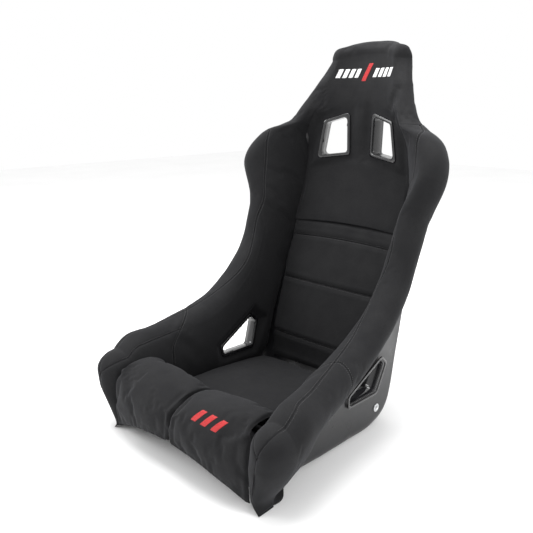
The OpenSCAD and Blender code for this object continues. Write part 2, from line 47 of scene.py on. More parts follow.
# ---- Key sections, numbered 0 at the front edge to 14 at the head ----
SPINE = [[-334, 75], [-290, 99], [-205, 81], [-110, 45], [-15, 23], [75, 17], [138, 43], [172, 158],
         [220, 308], [262, 433], [292, 538], [302, 615], [303, 693], [328, 778], [358, 861]]
CORNER = [[236, -300, 9], [217, -262, 7], [203, -200, 7], [203, -110, 4], [203, -20, 2], [203, 75, 2],
          [203, 136, 37], [203, 166, 158], [202, 200, 303], [196, 236, 428], [182, 262, 533],
          [156, 278, 611], [112, 288, 693], [86, 318, 778], [70, 346, 861]]
RIM = [[250, -300, 139], [251, -262, 162], [242, -200, 173], [231, -110, 195], [225, -30, 225],
       [225, 38, 271], [224, 80, 313], [224, 110, 355], [226, 134, 413], [234, 160, 488],
       [262, 174, 578], [230, 212, 645], [156, 250, 697], [111, 292, 773], [80, 330, 861]]
ROLL = [44, 46, 43, 42, 40, 38, 37, 36, 34, 33, 34, 38, 36, 34, 33]
EDGE_AT = [0.02, 0.04, 0.54, 0.67, 0.74, 0.77, 0.71, 0.55, 0.3, 0.3, 0.42, 0.4, 0.35, 0.3, 0.3]
SWELL = [6, 12, 4, 0, 0, 0, 0, 0, 0, 0, 0, 0, 0, 0, 0]
CREASE = [[204, -300, 5], [198, -262, 47], [194, -205, 79], [187, -110, 77], [184, -15, 69],
          [183, 80, 67], [180, 124, 87], [176, 148, 178], [176, 196, 315], [174, 232, 423],
          [166, 258, 523], [156, 262, 603], [148, 258, 671], [112, 252, 748], [104, 285, 833]]
FRONT = [[0, 0], [0, 0], [0, 0], [0, 0], [0, 0], [0, 0], [125, 55], [141, 153], [188, 301], [241, 431],
         [270, 533], [284, 611], [280, 699], [291, 788], [318, 865]]
LAST = len(SPINE) - 1
NECK = 11.9
SHELL_T = 5
CORNER_RUN = 22
GAP = 0.4
COVER_T = 2


# ---- Curves and surfaces ----
def mix(a, b, t):
    return a + (b - a) * t


def catmull_rom(a, b, c, d, f):
    """Point f of the way from b to c on the smooth curve through all four."""
    return 0.5 * (2 * b + (c - a) * f + (2 * a - 5 * b + 4 * c - d) * f * f
                  + (3 * b - a - 3 * c + d) * f ** 3)


def lerp(a, b, t):
    """Point between a and b, where t is an array of the points' own shape."""
    return a + (b - a) * np.asarray(t)[..., None]


def norm(v):
    return np.linalg.norm(v, axis=-1)


def unit(v):
    return v / np.maximum(norm(v), 1e-9)[..., None]


def smooth(t):
    t = np.clip(t, 0, 1)
    return t * t * (3 - 2 * t)


def along(table, u):
    """Smooth curve through the rows of a table, at section u."""
    t = np.asarray(table, float)
    u = np.asarray(u, float)
    i = np.floor(u).astype(int)
    f = (u - i)[..., None] if t.ndim == 2 else u - i
    a, b, c, d = (t[np.clip(i + k, 0, len(t) - 1)] for k in (-1, 0, 1, 2))
    return catmull_rom(a, b, c, d, f)


def bezier(a, b, c, d, t):
    t = np.asarray(t)[..., None]
    s = 1 - t
    return a * s ** 3 + 3 * b * s * s * t + 3 * c * s * t * t + d * t ** 3


def floor_at(u, x):
    """Point of the shell's floor or back, x from the centre plane."""
    s, c = along(SPINE, u), along(CORNER, u)
    k = (x / c[..., 0]) ** 2
    return np.stack([x, mix(s[..., 0], c[..., 1], k), mix(s[..., 1], c[..., 2], k)], -1)


def wall_at(u, h):
    """Point of the shell's side wall, h from 0 at the corner to 1 at the rim."""
    c, r = along(CORNER, u), along(RIM, u)
    return np.stack([mix(c[..., 0], r[..., 0], h ** 2.4), mix(c[..., 1], r[..., 1], h),
                     mix(c[..., 2], r[..., 2], h)], -1)


def bend_height(u):
    return np.minimum(0.45, CORNER_RUN / norm(along(RIM, u) - along(CORNER, u)))


def inner(u, s):
    """Inner face of the shell, s from 0 at the centre to 1 at the rim."""
    corner = along(CORNER, u)
    x_a, h_b = corner[..., 0] - CORNER_RUN, bend_height(u)
    t = np.clip((s - 0.4) / 0.2, 0, 1)[..., None]
    a, b = floor_at(u, x_a), wall_at(u, h_b)
    bend = a * (1 - t) ** 2 + 2 * corner * t * (1 - t) + b * t * t
    flat = floor_at(u, x_a * np.minimum(s, 0.4) / 0.4)
    wall = wall_at(u, mix(h_b, 1, np.clip((s - 0.6) / 0.4, 0, 1)))
    return np.where((s < 0.4)[..., None], flat, np.where((s < 0.6)[..., None], bend, wall))


def outward(u, s):
    e = 0.02
    u0, s0 = np.maximum(u, e), np.clip(s, e, 1 - e)
    return unit(np.cross(inner(u0 + e, s0) - inner(u0 - e, s0), inner(u0, s0 + e) - inner(u0, s0 - e)))


def shell_at(u, s, d):
    """Point of the shell, d out from its inner face, with s below 0 on the left."""
    u, s = np.broadcast_arrays(np.asarray(u, float), np.asarray(s, float))
    p = inner(u, np.abs(s)) + np.asarray(d, float)[..., None] * outward(u, np.abs(s))
    p[..., 0] *= np.where(np.abs(s) < 0.001, 0, np.sign(s))
    return p


def wall_param(u, h):
    b = bend_height(u)
    return np.where(h <= b, 0.5 + 0.1 * h / b, 0.6 + 0.4 * (h - b) / (1 - b))


def edge_point(u, d=SHELL_T + GAP + COVER_T):
    """Point where the cover's outer edge lies on the shell."""
    return shell_at(u, wall_param(u, along(EDGE_AT, u)), np.full(np.shape(u), float(d)))


TOE_R = 26
TOE_X = 236


def toe(p, u):
    """The front tip stands on a rounded toe: low down, its flanks close towards its middle plane."""
    r = np.asarray(RIM[0], float)
    h = np.maximum(p[..., 2], 0.5) / TOE_R
    k = np.where(h < 1, np.sqrt(np.maximum(1 - (1 - h) ** 2, 0)), 1)
    mid = mix(TOE_X, r[0], p[..., 2] / r[2])
    q = p.copy()
    q[..., 0] = np.where(u < 1, mix(mix(mid, p[..., 0], k), p[..., 0], np.clip(u, 0, 1) ** 2), p[..., 0])
    return q


def bolster(u, v):
    """Visible face of a bolster: v runs from the crease over the roll to the outer edge."""
    u, v = np.broadcast_arrays(np.asarray(u, float), np.asarray(v, float))
    r, c, e = along(RIM, u), along(CREASE, u), edge_point(u)
    q, w = along(ROLL, u)[..., None], along(SWELL, u)[..., None]
    down = unit(e - r)
    side = unit(np.array([1.0, 0, 0]) - down[..., :1] * down)
    p1, p2 = r - q * side, r + q * side
    l1, l2 = norm(p1 - c)[..., None], norm(p2 - e)[..., None]
    face = bezier(c, lerp(c, p1, np.full(u.shape, 0.3)) - 6 * side, p1 + 0.4 * l1 * down, p1, v / 0.35)
    turn = (math.pi - math.pi * (v - 0.35) / 0.35)[..., None]
    roll = r + q * (np.cos(turn) * side - np.sin(turn) * down)
    flank = bezier(p2, p2 + 0.5 * l2 * down, e - 0.3 * (l2 - w) * down + w * side, e, (v - 0.7) / 0.3)
    p = np.where((v < 0.35)[..., None], face, np.where((v < 0.7)[..., None], roll, flank))
    return toe(p, np.maximum(u, 0))


def panel(u, x):
    """Front face of the upper back, x from the centre plane."""
    f, c = along(FRONT, u), along(CREASE, u)
    k = (x / c[..., 0]) ** 2
    return np.stack([x, mix(f[..., 0], c[..., 1], k), mix(f[..., 1], c[..., 2], k)], -1)


HOOD_LOW = 695
HOOD_TOP = 854
HOOD_DROP = 13


def hood_u(z):
    return np.where(z < 693, 12 + (z - 693) / 50,
                    np.where(z < 773, 12 + (z - 693) / 80, 13 + (z - 773) / 88))


def hood(z, a, over):
    """The head's cover at height z. a runs to 1 behind the side, and over goes on over the top."""
    k, ox = np.minimum(a / 0.5, 1), np.maximum(a / 0.5 - 1, 0)
    z = z - HOOD_DROP * k ** 3 * np.clip((z - HOOD_LOW) / (HOOD_TOP - HOOD_LOW), 0, 1)
    u = hood_u(z)
    r, rim = along(ROLL, u), along(RIM, u)
    o, n = np.maximum(ox, over), np.hypot(ox, over) + 1e-4
    turn = np.radians(165 * o)
    y0 = mix(along(FRONT, u)[..., 0], rim[..., 1] - r, k ** 2.6)
    y1 = mix(along(SPINE, u)[..., 0], rim[..., 1], k * k) + SHELL_T + GAP + COVER_T
    return np.stack([rim[..., 0] * k + r * np.sin(turn) * ox / n, mix(y0, y1, (1 - np.cos(turn)) / 2),
                     z + r * np.sin(turn) * over / n], -1)


CREASE_S = 0.3
ROLL_S = 0.545


def head_height(u):
    return np.where(u < 12, 693 + (u - 12) * 50, np.where(u < 13, 693 + (u - 12) * 80, 773 + (u - 13) * 88))


def upper(u, s, over=0.0):
    """The cover of the shoulders, the upper back and the head: s from the centre to the outer edge."""
    u, s, over = np.broadcast_arrays(*(np.asarray(t, float) for t in (u, s, over)))
    crease = along(CREASE, u)[..., 0]
    low = np.where((s < CREASE_S)[..., None], panel(u, np.minimum(s / CREASE_S, 1) * crease),
                   bolster(u, np.clip((s - CREASE_S) / (1 - CREASE_S), 0, 1)))
    at = np.minimum(crease / along(RIM, u)[..., 0], 0.84)
    a = np.where(s < CREASE_S, 0.5 * at * s / CREASE_S,
                 np.where(s < ROLL_S, mix(0.5 * at, 0.5, (s - CREASE_S) / (ROLL_S - CREASE_S)),
                          mix(0.5, 1, (s - ROLL_S) / (1 - ROLL_S))))
    return lerp(low, hood(head_height(u), a, over), smooth((u - 11.2) / 1.3))


CREST = [0.555, 0.53, 0.515, 0.51, 0.5, 0.455, 0.44, 0.46, 0.45, 0.37, 0.3, 0.4, 0.6]


def split_u(v):
    """Section at which the cross seam between the thigh and the side cover lies, at v."""
    return mix(2.15, 3.05, smooth((v - 0.25) / 0.3))


# ---- Building meshes ----
def grid_faces(rows, cols, keep=None, flip=False, wrap=False):
    i, j = np.meshgrid(np.arange(rows - 1), np.arange(cols if wrap else cols - 1), indexing="ij")
    k = (j + 1) % cols
    quads = np.stack([i * cols + j, i * cols + k, (i + 1) * cols + k, (i + 1) * cols + j], -1)
    quads = quads[keep] if keep is not None else quads.reshape(-1, 4)
    return quads[:, ::-1] if flip else quads


def make_object(name, points, faces, material, body="seat_structure"):
    """Mesh object from points in millimetres, smooth shaded, with unused points left out."""
    points = np.asarray(points, float).reshape(-1, 3)
    faces = [list(map(int, f)) for f in faces]
    used = sorted({i for f in faces for i in f})
    place = {old: new for new, old in enumerate(used)}
    mesh = bpy.data.meshes.new(name)
    mesh.from_pydata((points[used] * MM).tolist(), [], [[place[i] for i in f] for f in faces])
    mesh.polygons.foreach_set("use_smooth", [True] * len(mesh.polygons))
    mesh.materials.append(material)
    mesh.validate()
    obj = bpy.data.objects.new(name, mesh)
    bpy.context.scene.collection.objects.link(obj)
    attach(obj, body)
    return obj


def thicken(obj, thickness):
    solid = obj.modifiers.new("thickness", "SOLIDIFY")
    solid.thickness = thickness * MM
    solid.offset = -1
    return obj


def normals(points, sign=1):
    return sign * unit(np.cross(np.gradient(points, axis=0), np.gradient(points, axis=1)))


def arc(points, axis, start):
    """Signed length along one axis of a grid, measured from index start."""
    step = norm(np.diff(points, axis=axis))
    total = np.concatenate([np.zeros_like(np.take(step, [0], axis=axis)), np.cumsum(step, axis=axis)],
                           axis=axis)
    return total - np.take(total, [start], axis=axis)


def clouds(points, size, seed):
    """Smooth noise from -1 to 1 with features of about size millimetres."""
    flat = points.reshape(-1, 3) / size + seed * 17.3
    return np.array([noise.noise(Vector(p)) for p in flat]).reshape(points.shape[:-1])


def groove(dist, depth, width):
    return -depth * np.exp(-(dist / width) ** 2)


def spread(start, end, count, seams=(), fine=(0.0,)):
    """Even steps from start to end, with extra ones close to each seam."""
    extra = [s + side * f for s in seams for f in fine for side in (-1, 1)]
    values = np.concatenate([np.linspace(start, end, count), np.array(extra)])
    values = np.unique(np.round(values[(values >= start) & (values <= end)], 5))
    return values[np.concatenate([[True], np.diff(values) > 2e-4])]


SIM_FRAMES = 20


def puff(points, pinned, cap, flip=False, pressure=4.0, growth=0.004):
    """Inflates a coarse grid of cloth, held at the pinned points, and returns how far each point moves."""
    mesh = bpy.data.meshes.new("cloth")
    mesh.from_pydata((points.reshape(-1, 3) * MM).tolist(), [],
                     grid_faces(*points.shape[:2], flip=flip).tolist())
    obj = bpy.data.objects.new("cloth", mesh)
    bpy.context.scene.collection.objects.link(obj)
    obj.vertex_groups.new(name="pinned").add(np.flatnonzero(pinned.ravel()).tolist(), 1.0, "REPLACE")
    cloth = obj.modifiers.new("cloth", "CLOTH")
    cloth.settings.quality = 6
    cloth.settings.mass = 0.3
    cloth.settings.tension_stiffness = 15
    cloth.settings.compression_stiffness = 15
    cloth.settings.shear_stiffness = 5
    cloth.settings.bending_stiffness = 0.4
    cloth.settings.use_pressure = True
    cloth.settings.uniform_pressure_force = pressure
    cloth.settings.shrink_min = -growth
    cloth.settings.vertex_group_mass = "pinned"
    cloth.settings.effector_weights.gravity = 0
    cloth.point_cache.frame_end = SIM_FRAMES
    for step in range(1, SIM_FRAMES + 1):
        bpy.context.scene.frame_set(step)
    result = obj.evaluated_get(bpy.context.evaluated_depsgraph_get()).to_mesh()
    co = np.zeros(len(result.vertices) * 3)
    result.vertices.foreach_get("co", co)
    bpy.data.objects.remove(obj)
    bpy.context.scene.frame_set(1)
    move = co.reshape(points.shape) / MM - points
    size = norm(move)[..., None]
    return move * np.tanh(size / cap) * cap / np.maximum(size, 1e-6)


def resample(field, rows, cols, fine_rows, fine_cols):
    """Values of a coarse grid at the rows and columns of a finer one."""
    tall = np.stack([np.stack([np.interp(fine_rows, rows, field[:, j, k]) for k in range(3)], -1)
                     for j in range(len(cols))], 1)
    return np.stack([np.stack([np.interp(fine_cols, cols, tall[i, :, k]) for k in range(3)], -1)
                     for i in range(len(fine_rows))], 0)


def frames_along(points):
    """Tangent, side and up vectors carried along a line without twisting."""
    tangent = unit(np.gradient(points, axis=0))
    side = [unit(np.cross(tangent[0], [0.3, 0.2, 1.0]))]
    for t in tangent[1:]:
        side.append(unit(side[-1] - t * np.dot(side[-1], t)))
    side = np.array(side)
    return tangent, side, np.cross(tangent, side)


def tube(name, points, radius, material, sides=14):
    _, a, b = frames_along(points)
    turn = np.linspace(0, 2 * math.pi, sides, endpoint=False)[None, :, None]
    rings = points[:, None] + radius * (np.cos(turn) * a[:, None] + np.sin(turn) * b[:, None])
    caps = [list(range(sides))[::-1], [(len(points) - 1) * sides + j for j in range(sides)]]
    faces = grid_faces(len(points), sides, wrap=True).tolist() + caps
    return make_object(name, rings, faces, material)


def stitches(name, lines, material, body="seat_structure", pitch=4.6, length=3.3, radius=0.5):
    """Rows of single stitches. Each line is a pair of arrays: its points and its surface normals."""
    along_x = np.array([-0.5, -0.36, 0, 0.36, 0.5]) * length
    size = np.array([0.3, 0.85, 1.0, 0.85, 0.3]) * radius
    turn = np.linspace(0, 2 * math.pi, 6, endpoint=False)
    points, faces = [], []
    for line, normal in lines:
        length_at = np.concatenate([[0], np.cumsum(norm(np.diff(line, axis=0)))])
        at = np.arange(pitch / 2, length_at[-1], pitch)
        centre = np.stack([np.interp(at, length_at, line[:, k]) for k in range(3)], -1)
        up = unit(np.stack([np.interp(at, length_at, normal[:, k]) for k in range(3)], -1))
        ahead = unit(np.stack([np.interp(at + 1, length_at, line[:, k]) for k in range(3)], -1)
                     - np.stack([np.interp(at - 1, length_at, line[:, k]) for k in range(3)], -1))
        across = np.cross(up, ahead)
        for c, f, n, s in zip(centre, ahead, up, across):
            base = len(points)
            for x, r in zip(along_x, size):
                lift = radius * (0.5 - 5 * (x / length) ** 2)
                points += [c + x * f + (lift + r * math.sin(t)) * n + r * math.cos(t) * s for t in turn]
            faces += (grid_faces(5, 6, wrap=True) + base).tolist()
            faces += [[base + j for j in range(5, -1, -1)], [base + 24 + j for j in range(6)]]
    return make_object(name, np.array(points), faces, material, body)


def mirrored(points):
    return points * np.array([-1.0, 1, 1])


# ---- Harness slots ----
SHOULDER = {"outline": [[33, 714], [30, 606], [121, 594], [103, 693]]}
LAP = {"outline": [[-40, 125], [-36, 93], [78, 90], [104, 163], [78, 187]]}
TURN, LEAN = math.radians(-13.4), math.radians(5)
SHOULDER["origin"] = np.array([72.0, 272, 651])
SHOULDER["axes"] = np.array([[math.cos(TURN), math.sin(TURN), 0],
                             [0, 0, 1],
                             [-math.sin(TURN), math.cos(TURN), 0]])
LAP["origin"] = np.array([206.0, 0, 90])
LAP["axes"] = np.array([[0, 1, 0],
                        [math.sin(LEAN), 0, math.cos(LEAN)],
                        [math.cos(LEAN), 0, -math.sin(LEAN)]])
SHOULDER["flat"] = [[(x - 72) / math.cos(TURN), z - 651] for x, z in SHOULDER["outline"]]
LAP["flat"] = [[y, z - 90] for y, z in LAP["outline"]]
FLANGE = 8
SLEEVE_T = 2
CORNER_R = 9


def edge_normals(flat):
    p = np.array(flat, float)
    run = unit(np.roll(p, -1, axis=0) - p)
    return p, np.stack([run[:, 1], -run[:, 0]], -1)


def outline(slot, grow, steps=7):
    """Slot outline grown by a distance, with rounded corners, as points in its own plane."""
    p, after = edge_normals(slot["flat"])
    before = np.roll(after, 1, axis=0)
    corner = p + (grow - CORNER_R) * (before + after) / (1 + (before * after).sum(-1, keepdims=True))
    points = []
    for c, n0, n1 in zip(corner, before, after):
        a0, a1 = math.atan2(n0[1], n0[0]), math.atan2(n1[1], n1[0])
        a1 += 2 * math.pi if a1 < a0 else 0
        for a in np.linspace(a0, a1, steps):
            points.append(c + CORNER_R * np.array([math.cos(a), math.sin(a)]))
    return np.array(points)


def in_slot(slot, points):
    """Points in a slot's own frame: across it, up it and into it."""
    return (points - slot["origin"]) @ slot["axes"].T


def from_slot(slot, local):
    return local @ slot["axes"] + slot["origin"]


def slot_distance(slot, local):
    p, n = edge_normals(slot["flat"])
    return ((local[..., None, :2] - p) * n).sum(-1).max(-1)


def press(slot, points, depth, reach, layer=40):
    """Fabric drawn down to lie under a bezel's flange, and each point's distance outside the slot."""
    local = in_slot(slot, points)
    away = slot_distance(slot, local)
    near = np.abs(local[..., 2] - depth) < layer
    weight = np.where(near, 1 - smooth((away - 1) / reach), 0)
    local[..., 2] = mix(local[..., 2], depth, weight)
    return from_slot(slot, local), np.where(near, away, 1e3)


def quad_max(values):
    return np.maximum(np.maximum(values[:-1, :-1], values[1:, :-1]),
                      np.maximum(values[:-1, 1:], values[1:, 1:]))


def bezel(name, slot, profile, material, mirror):
    """Ring of a moulded bezel. The profile is a closed loop of steps outside the slot and into it."""
    rings = []
    for grow, depth in profile:
        flat = outline(slot, grow)
        rings.append(from_slot(slot, np.column_stack([flat, np.full(len(flat), float(depth))])))
    rings = np.array(rings)
    rings = mirrored(rings) if mirror else rings
    faces = (grid_faces(len(rings) + 1, rings.shape[1], wrap=True, flip=mirror)
             % (len(rings) * rings.shape[1]))
    return make_object(name, rings, faces, material)


# ---- Materials ----
def start_material(name, slot, sockets):
    mat = bpy.data.materials.new(name)
    mat.use_nodes = True
    mat["slot"] = slot
    tree = mat.node_tree
    shader = tree.nodes["Principled BSDF"]
    for key, value in sockets.items():
        shader.inputs[key].default_value = value
    return mat, tree, shader, tree.nodes.new("ShaderNodeTexCoord").outputs["Object"]


def grain(tree, coords, size, detail=2.0, stretch=None):
    """Noise with features of about size metres, stretched along the axes if asked."""
    if stretch:
        mapping = tree.nodes.new("ShaderNodeMapping")
        mapping.inputs["Scale"].default_value = stretch
        tree.links.new(coords, mapping.inputs["Vector"])
        coords = mapping.outputs["Vector"]
    texture = tree.nodes.new("ShaderNodeTexNoise")
    texture.inputs["Scale"].default_value = 1 / size
    texture.inputs["Detail"].default_value = detail
    tree.links.new(coords, texture.inputs["Vector"])
    return texture.outputs["Fac"]


def ramp(tree, value, low, high, dark, light):
    blend = tree.nodes.new("ShaderNodeValToRGB")
    blend.color_ramp.elements[0].position = low
    blend.color_ramp.elements[1].position = high
    blend.color_ramp.elements[0].color = (*dark, 1)
    blend.color_ramp.elements[1].color = (*light, 1)
    tree.links.new(value, blend.inputs["Fac"])
    return blend.outputs["Color"]


def spanned(tree, value, low, high):
    span = tree.nodes.new("ShaderNodeMapRange")
    span.inputs["From Min"].default_value = 0.3
    span.inputs["From Max"].default_value = 0.7
    span.inputs["To Min"].default_value = low
    span.inputs["To Max"].default_value = high
    tree.links.new(value, span.inputs["Value"])
    return span.outputs["Result"]


def added(tree, a, b, weight):
    """a plus weight times b."""
    total = tree.nodes.new("ShaderNodeMath")
    total.operation = "MULTIPLY_ADD"
    total.inputs[1].default_value = weight
    tree.links.new(b, total.inputs[0])
    tree.links.new(a, total.inputs[2])
    return total.outputs["Value"]


def bump(tree, shader, layers):
    """Chain of bumps on a shader: each layer is a height, its distance in metres and its strength."""
    under = None
    for height, distance, strength in layers:
        node = tree.nodes.new("ShaderNodeBump")
        node.inputs["Distance"].default_value = distance
        node.inputs["Strength"].default_value = strength
        tree.links.new(height, node.inputs["Height"])
        if under:
            tree.links.new(under, node.inputs["Normal"])
        under = node.outputs["Normal"]
    tree.links.new(under, shader.inputs["Normal"])


def fabric(name, slot, dark, light, sheen, nap=0.05):
    """Brushed velour: a cloudy nap over a fine pile that catches light at a grazing angle."""
    mat, tree, shader, at = start_material(name, slot, {
        "Sheen Weight": sheen, "Sheen Roughness": 0.42, "Sheen Tint": (0.8, 0.82, 0.9, 1),
        "Specular IOR Level": 0.25})
    cloud, pile, fleck = grain(tree, at, nap, 3), grain(tree, at, 0.0011, 2), grain(tree, at, 0.0045, 2)
    tone = added(tree, added(tree, pile, fleck, 0.5), cloud, 0.5)
    tree.links.new(ramp(tree, tone, 0.75, 1.25, dark, light), shader.inputs["Base Color"])
    tree.links.new(spanned(tree, cloud, 0.8, 0.97), shader.inputs["Roughness"])
    bump(tree, shader, [(fleck, 0.0005, 0.35), (pile, 0.0004, 0.6)])
    return mat


def thread(name, slot, dark, light):
    mat, tree, shader, at = start_material(name, slot, {"Sheen Weight": 0.25, "Sheen Roughness": 0.4})
    fibre = grain(tree, at, 0.0009, 3, (1, 1, 0.3))
    tree.links.new(ramp(tree, fibre, 0.3, 0.7, dark, light), shader.inputs["Base Color"])
    tree.links.new(spanned(tree, fibre, 0.45, 0.65), shader.inputs["Roughness"])
    bump(tree, shader, [(fibre, 0.0002, 0.5)])
    return mat


def moulded(name, slot, dark, light, gloss, dull, peel=0.012, coat=0.0):
    """Smooth moulded or gel-coated surface with faint orange peel, dust and fine scratches."""
    mat, tree, shader, at = start_material(name, slot, {"Coat Weight": coat, "Coat Roughness": 0.08})
    smear, skin, scratch = (grain(tree, at, 0.04, 4), grain(tree, at, peel, 2),
                            grain(tree, at, 0.002, 3, (1, 8, 1)))
    tree.links.new(ramp(tree, smear, 0.35, 0.75, dark, light), shader.inputs["Base Color"])
    tree.links.new(spanned(tree, added(tree, smear, scratch, 0.25), gloss, dull), shader.inputs["Roughness"])
    bump(tree, shader, [(skin, 0.0006, 0.12), (scratch, 0.0001, 0.15)])
    return mat


def steel(name, slot, tone, gloss, dull):
    mat, tree, shader, at = start_material(name, slot, {"Metallic": 1.0})
    lathe, stain = grain(tree, at, 0.0012, 3, (6, 1, 1)), grain(tree, at, 0.008, 3)
    tree.links.new(ramp(tree, stain, 0.3, 0.7, [t * 0.75 for t in tone], tone), shader.inputs["Base Color"])
    tree.links.new(spanned(tree, added(tree, stain, lathe, 0.3), gloss, dull), shader.inputs["Roughness"])
    bump(tree, shader, [(lathe, 0.00015, 0.3)])
    return mat


COVER = fabric("cover_velour", "cover_fabric", (0.0055, 0.0055, 0.0061), (0.0095, 0.0095, 0.0104), 0.05)
CUSHION = fabric("cushion_velour", "cushion_fabric", (0.0052, 0.0052, 0.0058), (0.009, 0.009, 0.0098),
                 0.05, 0.035)
WELT = fabric("welt_cloth", "welt", (0.008, 0.008, 0.009), (0.015, 0.015, 0.016), 0.1, 0.01)
THREAD = thread("seam_thread", "cover_fabric", (0.01, 0.01, 0.011), (0.024, 0.024, 0.026))
WHITE_THREAD = thread("white_thread", "cover_fabric", (0.62, 0.62, 0.62), (0.85, 0.85, 0.85))
RED_THREAD = thread("red_thread", "cover_fabric", (0.33, 0.006, 0.008), (0.52, 0.014, 0.016))
BEZEL = moulded("bezel_moulding", "bezel_plastic", (0.006, 0.006, 0.007), (0.012, 0.012, 0.013),
                0.1, 0.24, 0.02, 0.4)
GELCOAT = moulded("gel_coat", "shell_laminate", (0.008, 0.008, 0.009), (0.016, 0.016, 0.018), 0.2, 0.4)
HOOK = fabric("hook_tape", "hook_and_loop", (0.006, 0.006, 0.007), (0.02, 0.02, 0.022), 0.1, 0.003)
INSERT = steel("insert_zinc", "insert_steel", (0.78, 0.79, 0.8), 0.16, 0.34)
PLATE = steel("plate_brushed", "plate_steel", (0.5, 0.51, 0.52), 0.3, 0.5)


# ---- Bolster covers ----
FINE = (0.002, 0.005, 0.009, 0.014, 0.022)
INNER_SEAM = 0.38
COLS = spread(0, 1, 84, (0, INNER_SEAM, 0.5, 1), FINE)
HALF = int(np.argmin(np.abs(COLS - 0.5)))


def crest_v(u, c):
    """Place across the bolster for column c, with the crest seam always at 0.5."""
    crest = along(CREST, np.clip(u, 0, 12))
    return np.where(c < 0.5, 2 * c * crest, mix(crest, 1, 2 * c - 1))


def shoulder_at(u, v):
    return upper(u, CREASE_S + (1 - CREASE_S) * v)


def medial(v):
    """Middle sheet of the front tip."""
    zero = np.zeros_like(v)
    low = (bolster(zero, v) + bolster(zero, 1 - v * 0.3 / 0.35)) / 2
    high = (bolster(zero, v) + bolster(zero, np.clip(0.35 * (1 - v) / 0.3, 0, 1))) / 2
    centre = np.broadcast_to(np.array(RIM[0], float), low.shape)
    return np.where((v < 0.35)[..., None], low, np.where((v < 0.7)[..., None], centre, high))


NOSE_Y, NOSE_LOW, NOSE_HIGH = -300, 34, 56


def nose(angle, c):
    v = crest_v(np.zeros_like(c), c)
    p = bolster(np.zeros_like(v), v)
    reach = mix(NOSE_LOW, NOSE_HIGH, np.clip(p[..., 2] / 100, 0, 1))
    q = lerp(medial(v), p, np.cos(angle))
    return np.stack([q[..., 0], NOSE_Y - reach * np.sin(angle), np.maximum(q[..., 2], 0.4)], -1)


def bolster_grid(part, t, c):
    """Rows t along the thigh or side part of a bolster's cover, either side of the cross seam."""
    t, c = np.meshgrid(t, c, indexing="ij")
    cross = split_u(c)
    u = t * cross if part == "thigh" else mix(cross, NECK, t)
    return shoulder_at(u, crest_v(u, c)), u


# Height that the hem keeps off the floor, and the height over which it begins to turn under.
OFF_FLOOR = 0.4
UNDER_FADE = 22


def hemmed(points, normal, tuck, hem):
    """Adds columns that carry the cover's two long edges on: steps along the surface and down from it.

    Near the floor the edges turn under instead, and meet under the middle of the toe.
    """
    sides = []
    for edge, near, steps, side in ((0, 4, tuck, normal[:, :1]), (-1, -5, hem, normal[:, -1:])):
        last = points[:, edge][:, None]
        ahead = unit(last - points[:, near][:, None])
        low = np.clip(1.4 - last[..., 2] / UNDER_FADE, 0, 1) ** 2
        under = last * [0, 1, 0] + [TOE_X, 0, OFF_FLOOR]
        columns = []
        for n, (a, d) in enumerate(steps):
            turned = lerp(last, under, np.full(low.shape, (n + 1) / len(steps)))
            column = lerp(last + a * ahead - d * side, turned, low)
            columns.append(np.concatenate([column[..., :2], np.maximum(column[..., 2:], OFF_FLOOR)], -1))
        sides.append(columns)
    return np.concatenate(sides[0][::-1] + [points] + sides[1], axis=1)


TUCK = [(4, 0.5), (10, 1), (18, 2)]
HEM = [(0.8, 0.5), (1.2, 1.6), (1.0, 3.6)]
THIGH_ROWS = spread(0, 1, 110, (1,), (0.002, 0.005, 0.009, 0.016))
SIDE_ROWS = spread(0, 1, 280, (0, 1), (0.0008, 0.002, 0.004, 0.007))
NOSE_ANGLES = np.radians(np.concatenate([[90, 86], np.linspace(80, 4, 22)]))


def cloth_on_bolsters():
    """How far the stretched cover of a whole bolster moves when it is inflated, on a coarse grid."""
    rows, cols = np.linspace(0, NECK, 84), np.linspace(0, 1, 33)
    u, c = np.meshgrid(rows, cols, indexing="ij")
    points = shoulder_at(u, crest_v(u, c))
    pinned = (c == 0) | (c == 1) | (np.abs(c - 0.5) < 0.01) | (u == 0) | (u == NECK)
    pinned |= np.abs(u - split_u(c)) < 0.08
    return rows, cols, puff(points, pinned, 3.5)


def clothed(points, u, cols, cloth):
    """Adds the cloth's movement at section u and column c of each point."""
    rows, coarse_cols, move = cloth
    i = np.clip(np.interp(u, rows, np.arange(len(rows))), 0, len(rows) - 1.001)
    j = np.clip(np.interp(cols, coarse_cols, np.arange(len(coarse_cols))), 0, len(coarse_cols) - 1.001)
    i0, j0 = i.astype(int), np.broadcast_to(j.astype(int), i.shape)
    a, b = (i - i0)[..., None], (np.broadcast_to(j, i.shape) - j0)[..., None]
    return points + (move[i0, j0] * (1 - a) * (1 - b) + move[i0 + 1, j0] * a * (1 - b)
                     + move[i0, j0 + 1] * (1 - a) * b + move[i0 + 1, j0 + 1] * a * b)


def worn(points, normal, seed, deep=0.9):
    """Slight unevenness of foam under a stretched cover."""
    return points + normal * (deep * clouds(points, 62, seed)
                              + 0.4 * deep * clouds(points, 21, seed + 1))[..., None]


def line_near(points, normal, column, offset):
    """Line that keeps a distance from one column of a grid, with its normals."""
    run = arc(points, 1, column)
    pick = lambda field: np.array([[np.interp(offset, run[i], field[i, :, k]) for k in range(3)]
                                   for i in range(len(points))])
    return pick(points), pick(normal)


